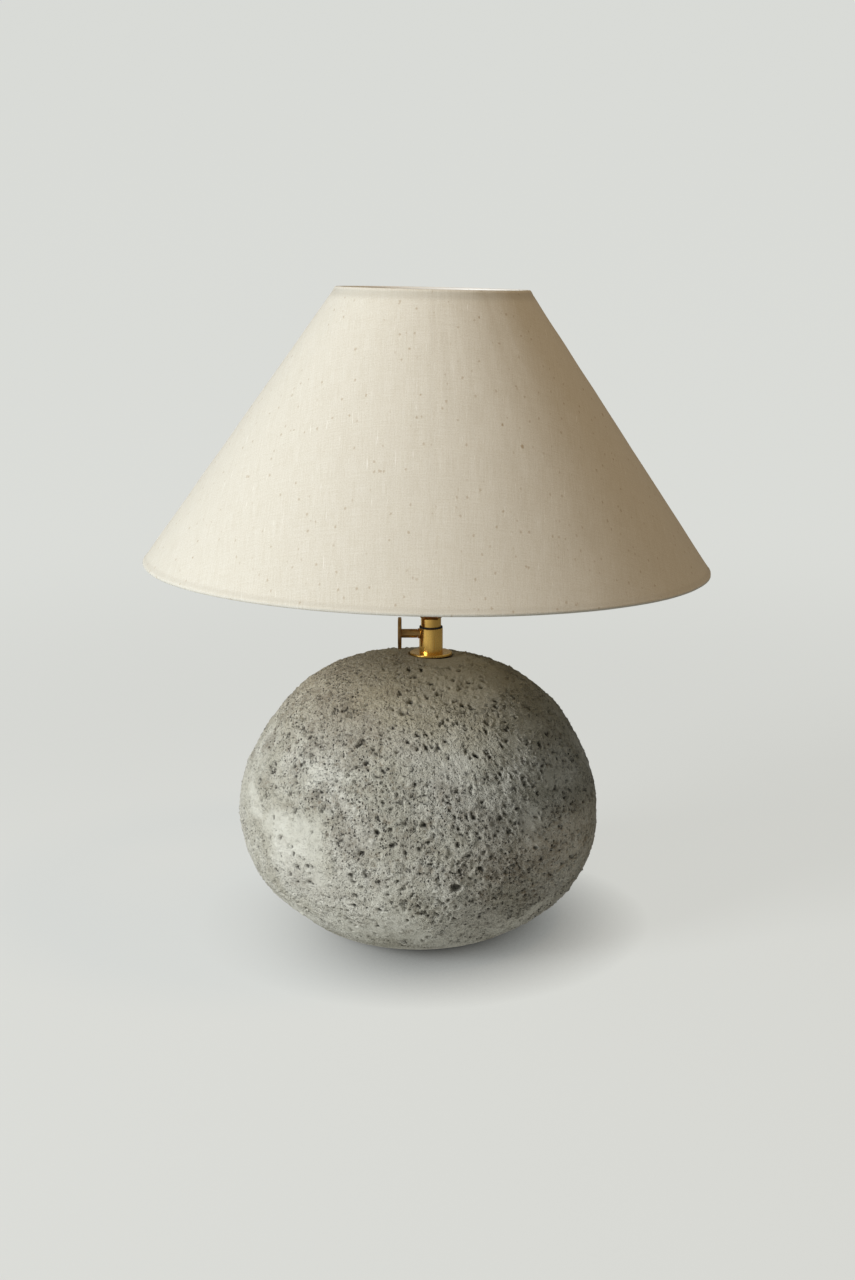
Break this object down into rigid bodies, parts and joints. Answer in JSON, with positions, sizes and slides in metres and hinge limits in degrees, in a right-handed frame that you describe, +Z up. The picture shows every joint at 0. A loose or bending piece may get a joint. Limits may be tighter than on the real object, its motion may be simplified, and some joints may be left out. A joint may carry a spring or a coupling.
{
  "type": "table lamp",
  "caption": "Table lamp with a rough rounded stone base, a telescoping brass neck with a side thumbscrew, and a conical linen shade.",
  "frame": {"origin": "on the table, under the brass column's axis", "axes": "+Z up the column; +Y towards the cable inlet at the back; the thumbscrew points to -X"},
  "size_m": [0.3999, 0.4, 0.4589],
  "materials": {
    "stone": "rough, pitted",
    "felt": "felt",
    "hatch_steel": "matt black",
    "zinc_steel": "zinc plated",
    "nylon": "moulded",
    "black_rubber": "matt",
    "satin_brass": "satin lacquered",
    "aged_brass": "antique",
    "bakelite": "moulded",
    "card_liner": "fibre",
    "contact_brass": "bare",
    "linen": "woven",
    "lining": "smooth",
    "ring_steel": "white",
    "opal_glass": "opal",
    "lamp_cap": "plain",
    "black_glass": "vitrite",
    "solder": "dull"
  },
  "bodies": {
    "base": {"stone_base": "stone", "felt_pad": "felt", "base_plate": "hatch_steel", "base_screws": "zinc_steel", "wall_plugs": "nylon", "cable_bush": "black_rubber", "column_tube": "satin_brass", "seat_flange": "satin_brass", "seat_gasket": "black_rubber", "lock_washer": "zinc_steel", "lock_nut": "zinc_steel", "wiper_ring": "black_rubber", "clamp_boss": "aged_brass"},
    "clamp_pad": {"pressure_pad": "nylon"},
    "thumbscrew": {"clamp_screw": "aged_brass", "thumb_disc": "aged_brass"},
    "neck": {"neck_tube": "satin_brass", "stop_collar": "contact_brass", "neck_plug": "contact_brass", "nipple": "zinc_steel", "harp_saddle": "aged_brass", "socket_cap": "aged_brass", "holder_shell": "satin_brass", "holder_liner": "card_liner", "holder_body": "bakelite", "screw_shell": "contact_brass", "centre_contact": "contact_brass", "terminal_screws": "contact_brass", "harp": "satin_brass"},
    "front_ferrule": {"ferrule_front": "satin_brass"},
    "back_ferrule": {"ferrule_back": "satin_brass"},
    "swivel": {"swivel_stud": "satin_brass"},
    "shade": {"shade_cloth": "linen", "shade_lining": "lining", "top_ring": "ring_steel", "bottom_ring": "ring_steel", "top_hem": "linen", "bottom_hem": "linen", "shade_spider": "ring_steel"},
    "washer": {"finial_washer": "satin_brass"},
    "finial_knob": {"finial": "satin_brass"},
    "bulb": {"bulb_glass": "opal_glass", "bulb_cap": "lamp_cap", "bulb_insulator": "black_glass", "bulb_tip": "solder"}
  },
  "joints": [
    {"name": "neck_slide", "type": "slide", "parent": "base", "child": "neck", "axis": [0, 0, 1], "range_m": [-0.0035, 0.04]},
    {"name": "pad_slide", "type": "slide", "parent": "base", "child": "clamp_pad", "axis": [-1, 0, 0], "range_m": [0, 0.00161]},
    {"name": "clamp_turn", "type": "hinge", "parent": "clamp_pad", "child": "thumbscrew", "pos_m": [0, 0, 0.21441], "axis": [-1, 0, 0], "range_deg": [0, 720]},
    {"name": "front_ferrule_slide", "type": "slide", "parent": "neck", "child": "front_ferrule", "axis": [0, 0, 1], "range_m": [0, 0.008]},
    {"name": "back_ferrule_slide", "type": "slide", "parent": "neck", "child": "back_ferrule", "axis": [0, 0, 1], "range_m": [0, 0.008]},
    {"name": "shade_tilt", "type": "hinge", "parent": "neck", "child": "swivel", "pos_m": [0, 0, 0.40351], "axis": [0, 1, 0], "range_deg": [-7.2, 4.8]},
    {"name": "shade_turn", "type": "hinge", "parent": "swivel", "child": "shade", "pos_m": [0, 0, 0.40351], "axis": [0.0209, 0, 0.9998], "continuous": true},
    {"name": "washer_lift", "type": "slide", "parent": "swivel", "child": "washer", "axis": [0.0209, 0, 0.9998], "range_m": [0, 0.00377]},
    {"name": "finial_turn", "type": "hinge", "parent": "washer", "child": "finial_knob", "pos_m": [0, 0, 0.40351], "axis": [0.0209, 0, 0.9998], "range_deg": [0, 1440]},
    {"name": "bulb_lift", "type": "slide", "parent": "neck", "child": "bulb", "axis": [0, 0, 1], "range_m": [0, 0.028]}
  ],
  "couplings": [
    {"joint": "pad_slide", "follows": "clamp_turn", "m_per_rad": 0.00012732},
    {"joint": "washer_lift", "follows": "finial_turn", "m_per_rad": 0.00014961}
  ]
}
